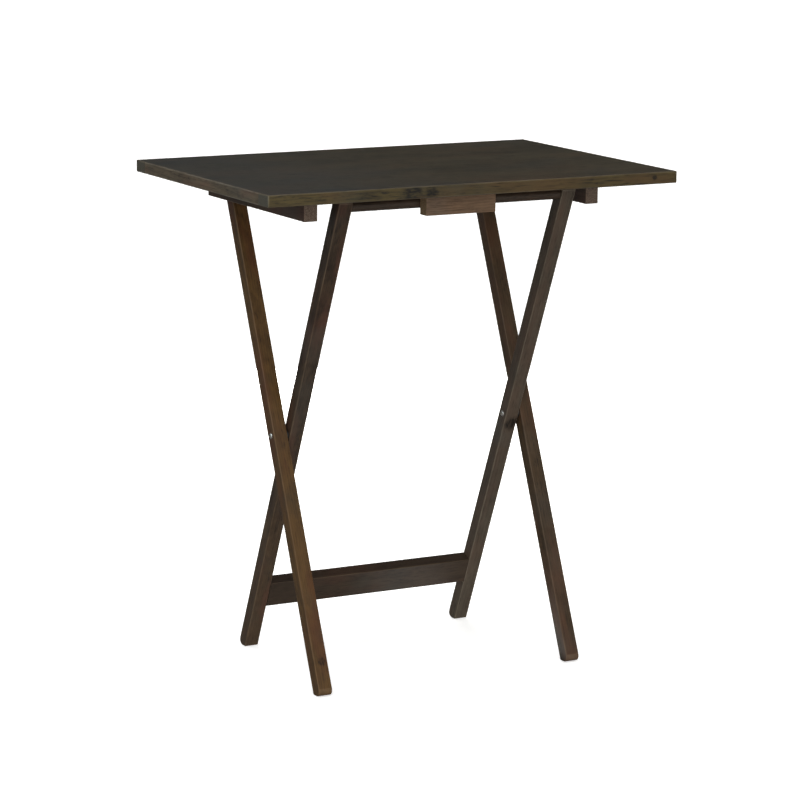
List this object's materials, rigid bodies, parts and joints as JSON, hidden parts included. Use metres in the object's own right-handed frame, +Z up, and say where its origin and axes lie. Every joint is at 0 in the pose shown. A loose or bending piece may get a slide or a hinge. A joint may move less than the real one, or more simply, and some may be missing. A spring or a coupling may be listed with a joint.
{
  "type": "folding tray table",
  "caption": "Small rectangular tray top on crossed wooden legs that fold flat, with cleats, a stop block, a dowel and a stretcher under it.",
  "frame": {"origin": "on the floor under the middle of the tray", "axes": "+Z up, X along the tray, -Y towards the front, where the stop block is"},
  "size_m": [0.6, 0.4, 0.67],
  "materials": {
    "top_veneer": "satin dark grey-brown stain, clear lacquer",
    "under_veneer": "satin dark stain",
    "lipping": "satin olive-brown stain, clear lacquer",
    "core_board": "raw board",
    "rail_wood": "satin reddish-brown stain",
    "leg_wood": "satin dark brown stain, clear lacquer",
    "dowel_wood": "raw beech",
    "pivot_steel": "bright zinc or nickel plate",
    "screw_steel": "zinc plate",
    "washer_plastic": "matte black nylon"
  },
  "bodies": {
    "outer_legs": {"left_outer_leg": "leg_wood", "right_outer_leg": "leg_wood", "left_cross_bolt": "pivot_steel", "right_cross_bolt": "pivot_steel", "left_cross_sleeve": "pivot_steel", "right_cross_sleeve": "pivot_steel", "left_cross_washer": "washer_plastic", "right_cross_washer": "washer_plastic"},
    "inner_frame": {"left_inner_leg": "leg_wood", "right_inner_leg": "leg_wood", "top_dowel": "rail_wood", "stretcher": "leg_wood", "stretcher_dowels": "dowel_wood"},
    "top_pivots": {"left_top_bolt": "pivot_steel", "right_top_bolt": "pivot_steel", "left_top_sleeve": "pivot_steel", "right_top_sleeve": "pivot_steel", "left_top_washer": "washer_plastic", "right_top_washer": "washer_plastic"},
    "tray": {"top_core": "core_board", "top_veneer": "top_veneer", "bottom_veneer": "under_veneer", "front_lipping": "lipping", "back_lipping": "lipping", "left_lipping": "lipping", "right_lipping": "lipping", "left_cleat": "rail_wood", "right_cleat": "rail_wood", "left_cleat_screws": "screw_steel", "right_cleat_screws": "screw_steel", "stop_block": "rail_wood", "stop_block_screws": "screw_steel"}
  },
  "joints": [
    {"name": "tray_lift", "type": "hinge", "parent": "top_pivots", "child": "tray", "pos_m": [0, 0.13341, 0.64], "axis": [-1, 0, 0], "range_deg": [0, 90]},
    {"name": "outer_legs_turn", "type": "hinge", "parent": "top_pivots", "child": "outer_legs", "pos_m": [0, 0.13341, 0.64], "axis": [-1, 0, 0], "range_deg": [-23, 0]},
    {"name": "legs_fold", "type": "hinge", "parent": "outer_legs", "child": "inner_frame", "pos_m": [0, -0.002, 0.321], "axis": [-1, 0, 0], "range_deg": [0, 46]}
  ],
  "couplings": [
    {"joint": "outer_legs_turn", "follows": "legs_fold", "ratio": -0.5}
  ]
}
